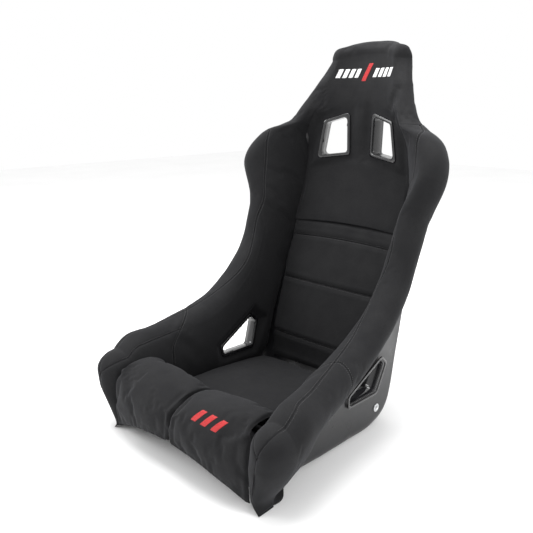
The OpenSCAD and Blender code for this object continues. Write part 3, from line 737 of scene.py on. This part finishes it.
def make_bolster(cloth):
    """Thigh and side covers of both bolsters, with their seams, and the rows of stitches beside these."""
    angles, c = np.meshgrid(NOSE_ANGLES, COLS, indexing="ij")
    thigh, u = bolster_grid("thigh", THIGH_ROWS, COLS)
    fade = smooth(u / 0.5)[..., None]
    thigh = thigh + (clothed(thigh, u, COLS, cloth) - thigh) * fade
    thigh = np.concatenate([nose(angles, c), thigh])
    side, u_side = bolster_grid("side", SIDE_ROWS, COLS)
    side = clothed(side, u_side, COLS, cloth)
    lines = []
    for part, points, ends in (("thigh", thigh, (-1,)), ("side", side, (0, -1))):
        normal = normals(points, -1)
        points = worn(points, normal, 3)
        crest = np.abs(arc(points, 1, HALF))
        puckers = 0.25 * np.sin(arc(points, 0, 0) / 1.9) * np.exp(-crest / 5)
        depth = groove(crest, 1.9, 1.7) + groove(crest, 0.7, 7) + puckers
        if part == "thigh":
            inner_seam = int(np.argmin(np.abs(COLS - INNER_SEAM)))
            run = np.abs(arc(points, 1, inner_seam))
            depth = depth + groove(run, 1.7, 1.6) + groove(run, 0.6, 6)
        for end in ends:
            run = np.abs(arc(points, 0, end % len(points)))
            fine = 1.6 if (part, end) != ("side", -1) else 0.5
            depth = depth + groove(run, fine, 1.6) + groove(run, 0.35 * fine, 6)
        points = points + depth[..., None] * normal
        normal = normals(points, -1)
        away = np.full(points.shape[:2], 1e3)
        if part == "side":
            points, inside = press(LAP, points, -LAP_DEPTH, 22)
            points, outside = press(LAP, points, SHELL_T + COVER_T, 14, 12)
            away = np.minimum(inside, outside)
        tail = slice(20, None) if part == "thigh" else slice(None)
        for offset in (-4.2, 4.2):
            lines.append(line_near(points[tail], normal[tail], HALF, offset))
        if part == "thigh":
            lines.append(line_near(points[tail], normal[tail], inner_seam, 3.6))
        row = -1 if part == "thigh" else 0
        run = np.abs(arc(points, 0, row % len(points)))
        at = int(np.argmin(np.abs(run.mean(1) - 3.6)))
        lines.append((points[at], normal[at]))
        points = hemmed(points, normal, TUCK, HEM)
        away = np.pad(away, ((0, 0), (len(TUCK), len(HEM))), mode="edge")
        keep = quad_max(away) > -4
        for hand, mirror in (("right", False), ("left", True)):
            faces = grid_faces(*points.shape[:2], keep=keep, flip=mirror)
            shown = mirrored(points) if mirror else points
            obj = thicken(make_object(f"{part}_bolster_cover_skin_{hand}", shown, faces, COVER), 1.4)
            foam = [f"{part}_bolster_foam_{hand}"] + ([f"shoulder_foam_{hand}"] if part == "side" else [])
            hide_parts(f"{part}_bolster_cover_{hand}", *foam)
    for hand, mirror in (("right", False), ("left", True)):
        shown = [(mirrored(p), mirrored(n)) if mirror else (p, n) for p, n in lines]
        stitches(f"bolster_stitches_{hand}", shown, THREAD)


# ---- Upper back and head ----
HEAD_S = np.concatenate([-spread(0, 1, 84, (CREASE_S, 1), FINE)[::-1][:-1],
                         spread(0, 1, 84, (CREASE_S, 1), FINE)])
PANEL_FROM = 9.03
HEAD_ROWS = spread(PANEL_FROM, 13.92, 190, (NECK,), (0.01, 0.03, 0.06))


def relaxed(points, weight, rounds):
    """Smooths a grid along its rows of points, by as much as the weight says."""
    weight = weight[:, 1:-1, None]
    points = points.copy()
    for _ in range(rounds):
        middle = (points[:, :-2] + 2 * points[:, 1:-1] + points[:, 2:]) / 4
        points[:, 1:-1] = points[:, 1:-1] * (1 - weight) + middle * weight
    return points


def make_upper():
    over = np.concatenate([np.zeros(len(HEAD_ROWS)), np.linspace(0, 1, 36)[1:]])
    rows = np.concatenate([HEAD_ROWS, np.full(35, HEAD_ROWS[-1])])
    u, s = np.meshgrid(rows, HEAD_S, indexing="ij")
    o = np.broadcast_to(over[:, None], u.shape)
    points = upper(u, np.abs(s), o) * np.stack([np.sign(s), np.ones_like(s), np.ones_like(s)], -1)
    points = relaxed(points, smooth((u - 11.4) / 0.9) * (np.abs(s) > 0.25), 36)
    coarse_rows, coarse_cols = np.arange(0, len(rows), 5), np.arange(0, len(HEAD_S), 4)
    if coarse_rows[-1] != len(rows) - 1:
        coarse_rows = np.append(coarse_rows, len(rows) - 1)
    if coarse_cols[-1] != len(HEAD_S) - 1:
        coarse_cols = np.append(coarse_cols, len(HEAD_S) - 1)
    coarse = points[np.ix_(coarse_rows, coarse_cols)]
    low, wide = u[np.ix_(coarse_rows, coarse_cols)], np.abs(s[np.ix_(coarse_rows, coarse_cols)])
    pinned = (wide > 0.97) | ((low < NECK + 0.2) & (wide > CREASE_S - 0.02))
    pinned[[0, -1]] = True
    pinned |= np.abs(slot_distance(SHOULDER, in_slot(SHOULDER, coarse))) < 8
    pinned |= np.abs(slot_distance(SHOULDER, in_slot(SHOULDER, mirrored(coarse)))) < 8
    points = points + resample(puff(coarse, pinned, 3.0), coarse_rows, coarse_cols,
                               np.arange(len(rows)), np.arange(len(HEAD_S)))
    normal = normals(points, -1)
    points = worn(points, normal, 9, 0.8)
    normal = normals(points, -1)
    neck = np.abs(arc(points, 0, int(np.argmin(np.abs(rows - NECK)))))
    outer = np.abs(s) > CREASE_S
    depth = groove(neck, 0.3, 1.6) * outer
    depth += groove(np.abs(np.abs(s) - CREASE_S) * 420, 2.5 * np.clip(12.6 - u, 0, 1), 5)
    points = points + depth[..., None] * normal
    right, away_right = press(SHOULDER, points, 0.4, 24)
    left, away_left = press(SHOULDER, mirrored(points), 0.4, 24)
    points = np.where((s > 0)[..., None], right, mirrored(left))
    away = np.where(s > 0, away_right, away_left)
    keep = quad_max(away) > -4
    keep &= ~((quad_max(u) <= NECK + 1e-6) & (quad_max(np.abs(s)) > CREASE_S + 1e-6))
    obj = thicken(make_object("upper_cover_skin", points, grid_faces(*points.shape[:2], keep=keep), COVER),
                  1.4)
    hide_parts("upper_cover", "upper_back_foam", "head_foam")
    return obj


# ---- Thigh pads ----
PAD_BACK_U = 1.85


def pad(i, k):
    """Face of the front pads: i runs from the seat cushion over the top and down the front, k across."""
    size, m = np.abs(k), np.sign(k)
    top = mix(146, 163, size) + 26 * size * (1 - size)
    front = -361 + 19 * size ** 2 - 8 * size * (1 - size)
    foot = 68 - 50 * size ** 2
    one = np.ones_like(top)
    y = [-217 * one, -221 * one, -234 * one, -262 * one, -300 * one, -328 * one,
         front + 12, front + 2, front, front + 2]
    z = [95 * one, top - 30, top - 8, top, top + 1, top - 6,
         top - 22, top - 44, mix(foot, top - 44, 0.5), foot]
    path = np.stack([np.stack(y), np.stack(z)], -1)
    half = (along(CREASE, PAD_BACK_U * np.maximum(1 - i / 5, 0))[..., 0] - 8 * GAP
            + 13 * smooth((i - 4.2) / 2.8))
    j, f = np.floor(i).astype(int), (i - np.floor(i))[..., None]
    place = np.indices(i.shape)
    a, b, c, d = (path[np.clip(j + n, 0, 9), place[0], place[1]] for n in (-1, 0, 1, 2))
    yz = catmull_rom(a, b, c, d, f)
    return np.concatenate([(half * size * m)[..., None], yz], -1)


def make_thigh_pads():
    rows, cols = spread(0, 9, 130), spread(-1, 1, 150, (-1, 0, 1), (0.004, 0.01, 0.018, 0.03))
    i, k = np.meshgrid(rows, cols, indexing="ij")
    points = pad(i, k)
    coarse_rows, coarse_cols = np.linspace(0, 9, 46), np.linspace(-1, 1, 53)
    ci, ck = np.meshgrid(coarse_rows, coarse_cols, indexing="ij")
    pinned = (np.abs(ck) > 0.99) | (np.abs(ck) < 0.01) | (ci < 0.01) | (ci > 8.99)
    move = puff(pad(ci, ck), pinned, 7.0, flip=True, growth=0.03)
    points = points + resample(move, coarse_rows, coarse_cols, rows, cols)
    normal = normals(points, 1)
    points = worn(points, normal, 5, 1.1)
    centre = np.abs(arc(points, 1, int(np.argmin(np.abs(cols)))))
    edge = np.minimum(np.abs(arc(points, 1, 0)), np.abs(arc(points, 1, len(cols) - 1)))
    depth = groove(centre, 4.5, 7) + groove(centre, 2.2, 1.8) + groove(edge, 3.5, 5)
    depth += 0.35 * np.sin(arc(points, 0, 0) / 2.4) * np.exp(-centre / 6)
    points = points + depth[..., None] * normal
    normal = normals(points, 1)
    middle = int(np.argmin(np.abs(cols)))
    halves = {"left": slice(0, middle + 1), "right": slice(middle, None)}
    for hand, part in halves.items():
        shown = points[:, part]
        obj = make_object(f"thigh_pad_skin_{hand}", shown, grid_faces(*shown.shape[:2], flip=True), COVER)
        thicken(obj, 1.4)
        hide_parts(f"thigh_cover_{hand}", *(["thigh_foam"] if hand == "right" else []))


# ---- Removable cushions ----
LIFT = 4.6
FOOT_S = 0.37
CUSHION_W, BACK_W = 180, 172


def seat_top(u, t):
    y = along(SPINE, u)[..., 0]
    k = (u - 1.95) / (5.56 - 1.95)
    return np.stack([CUSHION_W * t, y, mix(91, 65, k) + 6 * np.sin(np.pi * k) - 7 * t ** 4], -1)


def back_face(u, t):
    f = along(FRONT, u)
    k = np.clip((u - 7.8) / 1.2, 0, 1)
    return np.stack([BACK_W * t, f[..., 0] + mix(5 * t ** 4, -9 * t * t, k), f[..., 1] - 8 * k * t * t], -1)


def cushion_grid(face, width, start, end, rows, cols, edge_r, length):
    """A cushion's face with rounded edges, and side walls down to its foot where rows or cols pass 0 or 1."""
    p, q = np.meshgrid(rows, cols, indexing="ij")
    u, t = mix(start, end, np.clip(p, 0, 1)), np.clip(q, -1, 1)
    top = face(u, t)
    foot = shell_at(u, FOOT_S * width / CUSHION_W * t, np.full(u.shape, -LIFT))
    over = np.maximum(np.maximum(-p, p - 1), np.abs(q) - 1).clip(0) / WALL
    inside = np.minimum(np.minimum(np.clip(p, 0, 1), np.clip(1 - p, 0, 1)) * length,
                        np.clip(1 - np.abs(q), 0, 1) * width)
    fall = edge_r - np.sqrt(edge_r ** 2 - np.clip(edge_r - inside, 0, edge_r) ** 2)
    down = unit(foot - top)
    return lerp(top + fall[..., None] * down, foot, over)


WALL = 0.15
EDGE_STEPS = (0.004, 0.01, 0.018, 0.028, 0.04)


def make_cushion(name, face, width, start, end, length, channels, body, replaced, seed, cap):
    rows = spread(-WALL, 1 + WALL, 150, [0, 1, *channels], EDGE_STEPS)
    cols = spread(-1 - WALL, 1 + WALL, 130, (-1, 1), EDGE_STEPS)
    points = cushion_grid(face, width, start, end, rows, cols, 11, length)
    coarse_rows, coarse_cols = spread(-WALL, 1 + WALL, 44, channels), np.linspace(-1 - WALL, 1 + WALL, 49)
    coarse = cushion_grid(face, width, start, end, coarse_rows, coarse_cols, 11, length)
    p, q = np.meshgrid(coarse_rows, coarse_cols, indexing="ij")
    pinned = (p < -0.05) | (p > 1.05) | (np.abs(q) > 1.05)
    for channel in channels:
        pinned |= np.abs(p - channel) < 1e-4
    points = points + resample(puff(coarse, pinned, cap), coarse_rows, coarse_cols, rows, cols)
    normal = normals(points, -1)
    points = worn(points, normal, seed, 0.7)
    depth = np.zeros(points.shape[:2])
    wide = smooth((1.02 - np.abs(cols)) / 0.06)[None]
    for channel in channels:
        run = np.abs(arc(points, 0, int(np.argmin(np.abs(rows - channel)))))
        depth += (groove(run, 3.4, 2.2) + groove(run, 2.2, 9) + 0.8 * np.exp(-((run - 12) / 6) ** 2)) * wide
        depth += 0.3 * np.sin(arc(points, 1, 0) / 2.2) * np.exp(-run / 5) * wide
    points = points + depth[..., None] * normal
    obj = make_object(name, points, grid_faces(*points.shape[:2]), CUSHION, body)
    thicken(obj, 1.4)
    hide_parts(*replaced)
    normal = normals(points, -1)
    lines = []
    for channel in channels:
        at = int(np.argmin(np.abs(rows - channel)))
        run = np.abs(arc(points, 0, at))[:, len(cols) // 2]
        for side in (-1, 1):
            near = at + side * int(np.argmin(np.abs(run[at::side] - 2.6)))
            keep = np.abs(cols) < 0.98
            lines.append((points[near, keep], normal[near, keep]))
    if lines:
        stitches(name.replace("skin", "stitches"), lines, THREAD, body)
    return obj


# ---- Bezels, shell, mounts and trim ----
SHOULDER_DEPTH, LAP_DEPTH, BEZEL_T = 32, 20, 3


def front_profile(front, back):
    """Flange with a rounded lip, and the sleeve behind it that lines the slot."""
    top, wall = front - BEZEL_T, -FLANGE + SLEEVE_T
    return [(0, front + 0.4), (0, front - 1.5), (-0.35, front - 2.3), (-1.1, top), (-4.2, top - 0.15),
            (-6.4, top), (-7.4, front - 2.3), (-FLANGE, front - 1.0), (-FLANGE, back - 0.6),
            (-FLANGE + 0.6, back), (wall - 0.6, back), (wall, back - 0.6), (wall, front + 0.4)]


def rear_profile(near, outer, hole):
    far = near + BEZEL_T
    return [(outer, near), (outer, far - 1), (outer - 0.4, far - 0.3), (outer - 1.1, far), (hole + 1.1, far),
            (hole + 0.3, far - 0.4), (hole, far - 1.1), (hole, near)]


def make_bezels():
    hole = SLEEVE_T - FLANGE + GAP
    kinds = [("shoulder_bezel_{}", SHOULDER, front_profile(0, SHOULDER_DEPTH)),
             ("shoulder_bezel_rear_{}", SHOULDER, rear_profile(SHOULDER_DEPTH + 1, -1, hole)),
             ("lap_bezel_inner_{}", LAP, front_profile(-LAP_DEPTH, SHELL_T)),
             ("lap_bezel_outer_{}", LAP, rear_profile(SHELL_T + COVER_T, 0, hole))]
    for name, slot, profile in kinds:
        for hand, mirror in (("right", False), ("left", True)):
            obj = bezel(name.format(hand) + "_moulding", slot, profile, BEZEL, mirror)
            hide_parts(name.format(hand))


def prism(slot, grow, near, far):
    flat = outline(slot, grow)
    rings = np.array([from_slot(slot, np.column_stack([flat, np.full(len(flat), float(w))]))
                      for w in (near, far)])
    n = len(flat)
    return rings.reshape(-1, 3), grid_faces(2, n, wrap=True).tolist() + [list(range(n)),
                                                                         list(range(2 * n - 1, n - 1, -1))]


MOUNT_X, MOUNT_Z, MOUNT_Y = 208, 48, (-203, 87)
INSERT_R, FLANGE_R, BOLT_R, POCKET_R = 7, 10, 4, 14


def lathe(profile, y, z, sides=40, pitch=0.0, depth=0.0):
    """Closed ring turned about X from a loop of (x, radius), with a thread on the radii below INSERT_R."""
    turn = np.linspace(0, 2 * math.pi, sides, endpoint=False)
    rings = []
    for x, r in profile:
        ridge = (depth * np.abs(2 * ((x / pitch + turn / (2 * math.pi)) % 1) - 1)
                 if pitch and r < BOLT_R + 0.3 else 0)
        radius = r + ridge
        rings.append(np.stack([np.full(sides, float(x)), y + radius * np.cos(turn),
                               z + radius * np.sin(turn)], -1))
    faces = grid_faces(len(rings) + 1, sides, wrap=True) % (len(rings) * sides)
    return np.array(rings).reshape(-1, 3), faces.tolist()


def cutter_object(parts):
    points, faces = [], []
    for p, f in parts:
        faces += [[i + len(points) for i in face] for face in f]
        points += p.tolist()
    mesh = bpy.data.meshes.new("cutters")
    mesh.from_pydata((np.array(points) * MM).tolist(), [], faces)
    obj = bpy.data.objects.new("cutters", mesh)
    bpy.context.scene.collection.objects.link(obj)
    return obj


def drum(x0, x1, r, y, sides=48):
    turn = np.linspace(0, 2 * math.pi, sides, endpoint=False)
    rings = np.array([np.stack([np.full(sides, float(x)), y + r * np.cos(turn),
                                MOUNT_Z + r * np.sin(turn)], -1) for x in (x0, x1)])
    return rings.reshape(-1, 3), grid_faces(2, sides, wrap=True).tolist() + [
        list(range(sides)), list(range(2 * sides - 1, sides - 1, -1))]


def make_shell():
    rows, cols = np.linspace(0, LAST, 150), np.linspace(-1, 1, 121)
    u, s = np.meshgrid(rows, cols, indexing="ij")
    layers = [shell_at(u, s, np.full(u.shape, float(d))) for d in (0, SHELL_T)]
    layers = [np.concatenate([p[..., :2], np.maximum(p[..., 2:], 0.0)], -1) for p in layers]
    n = u.size
    border = [i * len(cols) for i in range(len(rows))]
    border += [(len(rows) - 1) * len(cols) + j for j in range(1, len(cols))]
    border += [i * len(cols) + len(cols) - 1 for i in range(len(rows) - 2, -1, -1)]
    border += list(range(len(cols) - 2, 0, -1))
    edge = [[a, b, b + n, a + n] for a, b in zip(border, border[1:] + border[:1])]
    faces = grid_faces(len(rows), len(cols), flip=False).tolist()
    faces += (grid_faces(len(rows), len(cols), flip=True) + n).tolist() + edge
    obj = make_object("shell_moulding", np.concatenate([p.reshape(-1, 3) for p in layers]), faces, GELCOAT)
    hole = SLEEVE_T - FLANGE + GAP
    parts = [prism(SHOULDER, hole, -20, 60), prism(LAP, hole, -30, 30)]
    parts += [drum(185, MOUNT_X + 1, INSERT_R + GAP / 2, y) for y in MOUNT_Y]
    parts += [drum(MOUNT_X, 230, POCKET_R, y) for y in MOUNT_Y]
    for part in parts + [(mirrored(p), [f[::-1] for f in faces]) for p, faces in parts]:
        cutter = cutter_object([part])
        cut = obj.modifiers.new("cut", "BOOLEAN")
        cut.operation = "DIFFERENCE"
        cut.solver = "EXACT"
        cut.object = cutter
        bpy.context.view_layer.update()
        mesh = bpy.data.meshes.new_from_object(obj.evaluated_get(bpy.context.evaluated_depsgraph_get()))
        obj.modifiers.clear()
        obj.data = mesh
        bpy.data.objects.remove(cutter)
    obj.modifiers.new("edge", "EDGE_SPLIT").split_angle = math.radians(50)
    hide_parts("shell")
    return obj


def make_inserts():
    face, rim = MOUNT_X + 2, MOUNT_X + GAP / 2
    bore = [(x, BOLT_R) for x in np.arange(face - 1.4, 198.4, -0.31)]
    profile = [(198, BOLT_R + 0.5), (198, INSERT_R - 0.4), (198.4, INSERT_R), (rim, INSERT_R),
               (rim, FLANGE_R - 0.3), (rim + 0.3, FLANGE_R), (face - 0.5, FLANGE_R),
               (face - 0.15, FLANGE_R - 0.15), (face, FLANGE_R - 0.5),
               (face, BOLT_R + 1.6), (face - 0.2, BOLT_R + 1.2), (face - 0.9, BOLT_R + 0.4)] + bore
    for end, y in zip(("front", "rear"), MOUNT_Y):
        points, faces = lathe(profile, y, MOUNT_Z, pitch=1.25, depth=0.5)
        for hand, mirror in (("right", False), ("left", True)):
            shown = mirrored(points) if mirror else points
            turned = [f[::-1] for f in faces] if not mirror else faces
            obj = make_object(f"mount_insert_turned_{end}_{hand}", shown, turned, INSERT)
            obj.modifiers.new("edge", "EDGE_SPLIT").split_angle = math.radians(35)
            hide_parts(f"mount_insert_{end}_{hand}")


WELT_R, WELT_GAP = 2.3, 1.2


def make_welts():
    u = np.linspace(1, NECK, 300)
    line = edge_point(u, SHELL_T + WELT_GAP + WELT_R)
    line += (WELT_R + WELT_GAP) * unit(along(CORNER, u) - along(RIM, u))
    for hand, mirror in (("right", False), ("left", True)):
        obj = tube(f"edge_welt_cord_{hand}", mirrored(line) if mirror else line, WELT_R, WELT)
        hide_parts(f"edge_welt_{hand}")


def embroidery(name, patches, material, tree, body="seat_structure"):
    """Satin stitch: each patch is a four-cornered blank filled with side-by-side threads."""
    points, faces = [], []
    for a, b, c, d, ray in patches:
        a, b, c, d, ray = (np.array(v, float) for v in (a, b, c, d, ray))
        threads = max(int(norm(b - a) / 0.42), 4)
        i, j = np.meshgrid(np.linspace(0, 1, threads * 4 + 1), np.linspace(0, 1, 15), indexing="ij")
        flat = lerp(lerp(a, b, i), lerp(d, c, i), j)
        rib = 0.16 * np.abs(np.sin(np.pi * i * threads))
        pad = 1.0 * (1 - (2 * j - 1) ** 6) * (1 - (2 * i - 1) ** 30) + rib - 0.25
        laid = np.zeros_like(flat)
        for index in np.ndindex(i.shape):
            hit, normal, _, _ = tree.ray_cast(Vector(flat[index] - 60 * ray), Vector(ray))
            if hit is None:
                hit, normal, _, _ = tree.find_nearest(Vector(flat[index]))
            normal = normal if normal.dot(Vector(ray)) < 0 else -normal
            laid[index] = np.array(hit) + pad[index] * np.array(normal)
        base = len(points)
        points += laid.reshape(-1, 3).tolist()
        faces += (grid_faces(*i.shape) + base).tolist()
    return make_object(name, np.array(points), faces, material, body)


def tree_of(obj):
    return BVHTree.FromPolygons([Vector(v.co) / MM for v in obj.data.vertices],
                                [tuple(p.vertices) for p in obj.data.polygons])


def slanted(x, width, low, high, lean, place, ray):
    """Slanted four-cornered patch in its own plane: place turns (across, up) into a point."""
    corners = [(x, low), (x + width, low), (x + width + lean, high), (x + lean, high)]
    return [place(*corner) for corner in corners] + [ray]


def make_graphics(head):
    """Generic marks on the head: a row of plain slanted bars."""
    tree = tree_of(head)
    place = lambda x, z: (x, 240, z)
    bars = [slanted(x, 11, 797, 819, 6, place, (0, 1, 0)) for x in (-82, -66, -50, -34, 20, 36, 52, 68)]
    embroidery("head_mark_white", bars, WHITE_THREAD, tree)
    red = [slanted(-11, 12, 788, 832, 13, place, (0, 1, 0))]
    embroidery("head_mark_red", red, RED_THREAD, tree)


def make_thigh_mark():
    pads = bpy.data.objects["thigh_pad_skin_right"]
    ray = unit(np.array([0.0, 0.75, -0.66]))
    up = np.array([0.0, 0.66, 0.75])
    origin = np.array([104.0, -340, 150])
    place = lambda x, h: tuple(origin + np.array([x, 0, 0]) + up * h)
    bars = [slanted(x, 15, -14, 14, 16, place, ray) for x in (-44, -15, 14)]
    embroidery("thigh_mark_red", bars, RED_THREAD, tree_of(pads))


# ---- Assembly ----
make_bolster(cloth_on_bolsters())
head = make_upper()
make_thigh_pads()
make_cushion("seat_cushion_skin", seat_top, CUSHION_W, 1.95, 5.56, 305, (), "seat_cushion",
             ["seat_cushion_cover", "seat_cushion_foam"], 21, 5)
make_cushion("back_cushion_skin", back_face, BACK_W, 6.17, 8.99, 370, (0.227, 0.589, 0.894), "back_cushion",
             ["back_cushion_cover", "back_cushion_foam"], 31, 6)
make_bezels()
make_shell()
make_inserts()
make_welts()
make_graphics(head)
make_thigh_mark()
for node in ("seat_hook_strips", "seat_loop_strips", "back_hook_strips", "back_loop_strips"):
    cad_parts[node].data.materials.clear()
    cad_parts[node].data.materials.append(HOOK)
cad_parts["backing_plates"].data.materials.clear()
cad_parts["backing_plates"].data.materials.append(PLATE)


# ---- Stage, light and camera ----
def make_floor():
    half, n = 6.0, 13
    x, y = np.meshgrid(np.linspace(-half, half, n), np.linspace(-half, half, n), indexing="ij")
    mesh = bpy.data.meshes.new("floor")
    points = np.stack([x, y, np.full_like(x, -0.0005)], -1).reshape(-1, 3)
    mesh.from_pydata(points.tolist(), [], grid_faces(n, n, flip=True).tolist())
    mat, tree, shader, at = start_material("floor_paper", "stage",
                                           {"Roughness": 0.9, "Specular IOR Level": 0.1})
    tree.links.new(ramp(tree, grain(tree, at, 0.4, 3), 0.2, 0.8, (0.93, 0.93, 0.93), (0.97, 0.97, 0.97)),
                   shader.inputs["Base Color"])
    mesh.materials.append(mat)
    floor = bpy.data.objects.new("floor", mesh)
    bpy.context.scene.collection.objects.link(floor)


def area_light(name, place, target, size, power):
    light = bpy.data.lights.new(name, "AREA")
    light.shape = "DISK"
    light.size = size
    light.energy = power
    obj = bpy.data.objects.new(name, light)
    obj.location = place
    obj.rotation_euler = (Vector(target) - Vector(place)).to_track_quat("-Z", "Y").to_euler()
    bpy.context.scene.collection.objects.link(obj)


def make_world():
    world = bpy.data.worlds.new("white")
    world.use_nodes = True
    world.node_tree.nodes["Background"].inputs["Color"].default_value = (1, 1, 1, 1)
    world.node_tree.nodes["Background"].inputs["Strength"].default_value = 1.0
    bpy.context.scene.world = world


def make_view():
    azimuth, elevation = math.radians(43.265), math.radians(15.19)
    camera = bpy.data.cameras.new("camera")
    camera.lens = 40.88
    camera.sensor_width = 36
    obj = bpy.data.objects.new("camera", camera)
    obj.location = (0.9001, -1.0215, 0.7380)
    obj.rotation_euler = (math.pi / 2 - elevation, 0, azimuth)
    bpy.context.scene.collection.objects.link(obj)
    bpy.context.scene.camera = obj
    bpy.context.scene.view_settings.view_transform = "Standard"


make_floor()
make_world()
area_light("overhead", (-0.3, 0.1, 2.4), (0, 0, 0.4), 1.8, 60)
area_light("front_left", (-1.8, -1.8, 1.6), (0, 0, 0.4), 1.4, 30)
area_light("right", (2.2, 0.3, 1.3), (0, 0, 0.4), 1.2, 22)
make_view()
